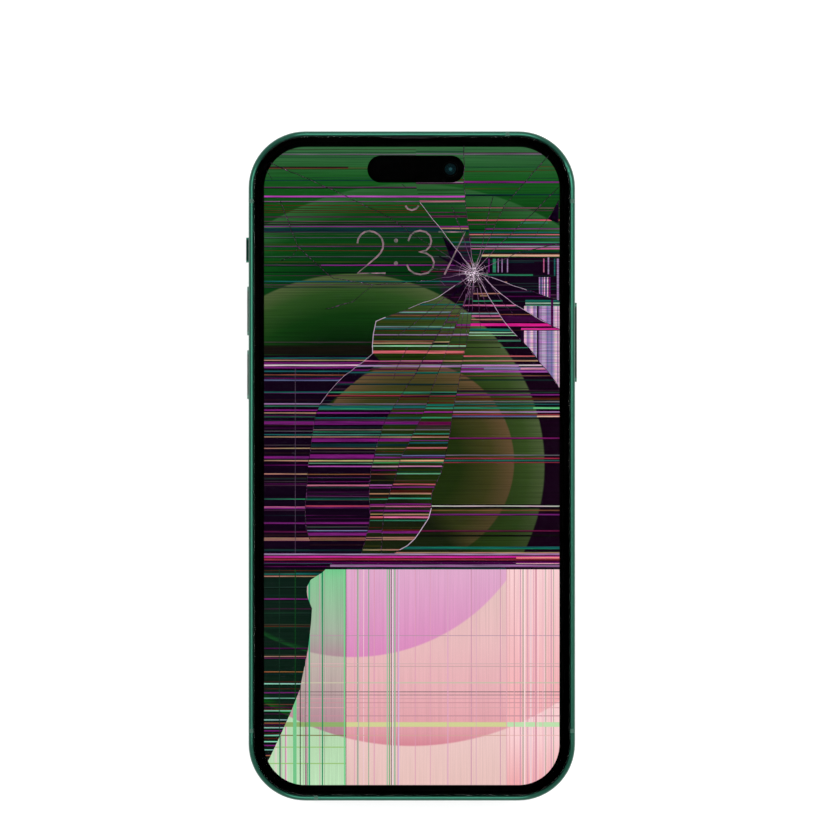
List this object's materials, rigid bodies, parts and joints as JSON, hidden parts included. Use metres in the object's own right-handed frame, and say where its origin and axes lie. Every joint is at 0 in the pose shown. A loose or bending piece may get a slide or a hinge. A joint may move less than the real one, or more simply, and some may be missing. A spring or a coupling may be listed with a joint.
{
  "type": "shattered screen phone",
  "caption": "Slim smartphone lying on its back, its cover glass cracked from one blow and its lit display torn by coloured fault lines; buttons press and the card tray slides out.",
  "frame": {"origin": "on the surface the phone lies on, under the middle of its body; the lens rings on its back touch that surface", "axes": "+Z out of the screen, +Y along the phone to its top end, +X to the right as the screen is read"},
  "size_m": [0.073, 0.1476, 0.0101],
  "materials": {
    "green_frame": "dark green anodised aluminium, satin with a bright edge highlight",
    "green_break": "green plastic let into the frame, slightly lighter than the metal",
    "cover_glass": "clear polished glass with cracks and a crushed spot",
    "display": "display panel, black when unlit",
    "black_plastic": "black moulded plastic",
    "black_adhesive": "black foam adhesive",
    "steel": "thin brushed stainless steel",
    "lens_metal": "polished green metal ring",
    "lens_glass": "dark coated lens glass",
    "camera_black": "black camera module",
    "rear_glass": "green colour-backed glass with a fine matte surface",
    "flash_lens": "ribbed pale lens over the flash",
    "flash_phosphor": "yellow phosphor",
    "battery_foil": "black foil pouch",
    "tape": "white stretch-release tape",
    "flex": "brown polyimide printed flex",
    "board": "dark blue-green printed circuit board",
    "black_rubber": "black rubber",
    "card": "white card with gold contacts",
    "copper": "wound copper wire",
    "gold": "gold plated can",
    "mesh": "fine black woven mesh",
    "orange": "orange plate that shows when the switch is set to silent"
  },
  "bodies": {
    "phone": {"housing_frame": "green_frame", "antenna_breaks": "green_break", "cover_glass": "cover_glass", "display_panel": "display", "display_plate": "steel", "display_frame": "black_plastic", "display_seal": "black_adhesive", "display_cable": "flex", "face_sensor": "black_plastic", "front_camera": "black_plastic", "front_camera_lens": "lens_glass", "earpiece_mesh": "mesh", "earpiece_speaker": "black_plastic", "rear_cover": "rear_glass", "rear_seal": "black_adhesive", "upper_lens_ring": "lens_metal", "lower_lens_ring": "lens_metal", "upper_lens_window": "lens_glass", "lower_lens_window": "lens_glass", "main_rear_camera": "camera_black", "wide_rear_camera": "camera_black", "camera_bracket": "steel", "flash_lens": "flash_lens", "flash_led": "flash_phosphor", "battery": "battery_foil", "battery_tape": "tape", "battery_cable": "flex", "logic_board": "board", "board_chips": "black_plastic", "board_shield": "steel", "board_screws": "steel", "sim_reader": "steel", "charging_coil": "copper", "charging_magnets": "steel", "vibration_motor": "steel", "loudspeaker": "black_plastic", "bottom_microphone": "gold", "charge_socket": "steel", "socket_tongue": "black_plastic", "dock_flex": "flex", "bottom_screws": "steel", "grille_meshes": "mesh", "switch_well": "orange", "dome_switches": "steel", "left_button_flex": "flex", "right_button_flex": "flex"},
    "silent_slider": {"silent_switch": "green_frame"},
    "volume_up": {"volume_up_button": "green_frame"},
    "volume_down": {"volume_down_button": "green_frame"},
    "power": {"power_button": "green_frame"},
    "sim_drawer": {"sim_tray": "green_frame", "sim_tray_seal": "black_rubber", "nano_sim_card": "card"}
  },
  "joints": [
    {"name": "silent_slide", "type": "slide", "parent": "phone", "child": "silent_slider", "axis": [0, 0, -1], "range_m": [0, 0.0012]},
    {"name": "volume_up_press", "type": "slide", "parent": "phone", "child": "volume_up", "axis": [1, 0, 0], "range_m": [0, 0.0003], "stiffness_N_per_m": 600, "springref_m": -0.0004},
    {"name": "volume_down_press", "type": "slide", "parent": "phone", "child": "volume_down", "axis": [1, 0, 0], "range_m": [0, 0.0003], "stiffness_N_per_m": 600, "springref_m": -0.0004},
    {"name": "power_press", "type": "slide", "parent": "phone", "child": "power", "axis": [-1, 0, 0], "range_m": [0, 0.0003], "stiffness_N_per_m": 600, "springref_m": -0.0004},
    {"name": "sim_drawer_slide", "type": "slide", "parent": "phone", "child": "sim_drawer", "axis": [-1, 0, 0], "range_m": [0, 0.016]}
  ]
}
